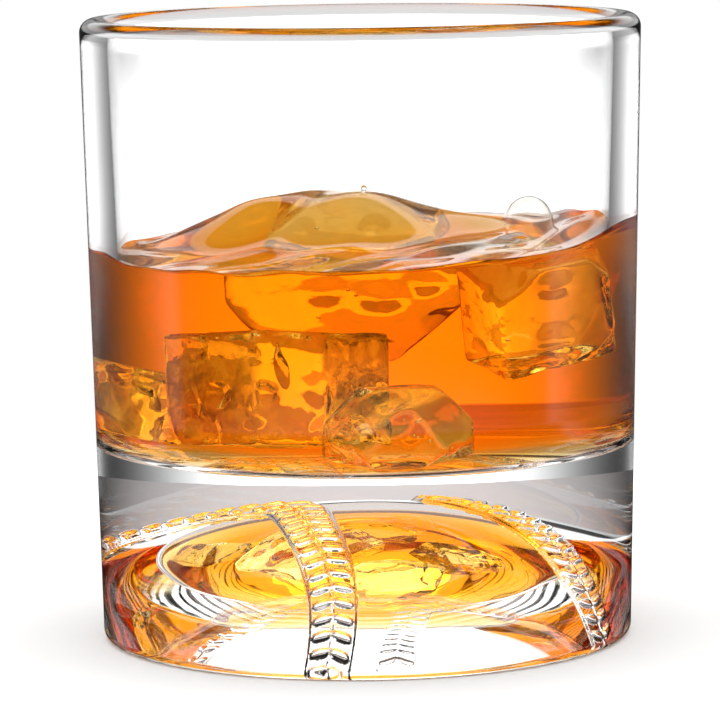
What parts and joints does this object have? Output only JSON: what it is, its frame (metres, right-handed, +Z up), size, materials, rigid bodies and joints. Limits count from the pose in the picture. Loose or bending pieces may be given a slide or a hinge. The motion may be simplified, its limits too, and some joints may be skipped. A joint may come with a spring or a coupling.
{
  "type": "whiskey tumbler",
  "caption": "Straight-sided whiskey tumbler with a thick base, a stitched ball relief hollowed up from below, filled with whiskey and loose ice.",
  "frame": {"origin": "centre of the foot ring, on the surface the tumbler stands on", "axes": "+Z up along the tumbler's axis, -Y towards the viewer, +X to the viewer's right"},
  "size_m": [0.0844, 0.0844, 0.094],
  "materials": {
    "clear_glass": "polished",
    "amber_whiskey": "clear liquid",
    "clear_ice": "clear, wet"
  },
  "bodies": {
    "tumbler": {"tumbler": "clear_glass", "whiskey": "amber_whiskey"},
    "block": {"ice_block": "clear_ice"},
    "chip": {"ice_chip": "clear_ice"},
    "shard": {"ice_shard": "clear_ice"},
    "crag": {"ice_crag": "clear_ice"},
    "wedge": {"ice_wedge": "clear_ice"}
  },
  "joints": [
    {"name": "block_lift", "type": "slide", "parent": "tumbler", "child": "block", "axis": [0, 0, 1], "range_m": [0, 0.071], "deforming": ["whiskey"]},
    {"name": "chip_lift", "type": "slide", "parent": "tumbler", "child": "chip", "axis": [0, 0, 1], "range_m": [0, 0.071], "deforming": ["whiskey"]},
    {"name": "shard_lift", "type": "slide", "parent": "tumbler", "child": "shard", "axis": [0, 0, 1], "range_m": [0, 0.071], "deforming": ["whiskey"]},
    {"name": "crag_lift", "type": "slide", "parent": "tumbler", "child": "crag", "axis": [0, 0, 1], "range_m": [0, 0.06], "deforming": ["whiskey"]},
    {"name": "wedge_lift", "type": "slide", "parent": "tumbler", "child": "wedge", "axis": [0, 0, 1], "range_m": [0, 0.062], "deforming": ["whiskey"]}
  ]
}
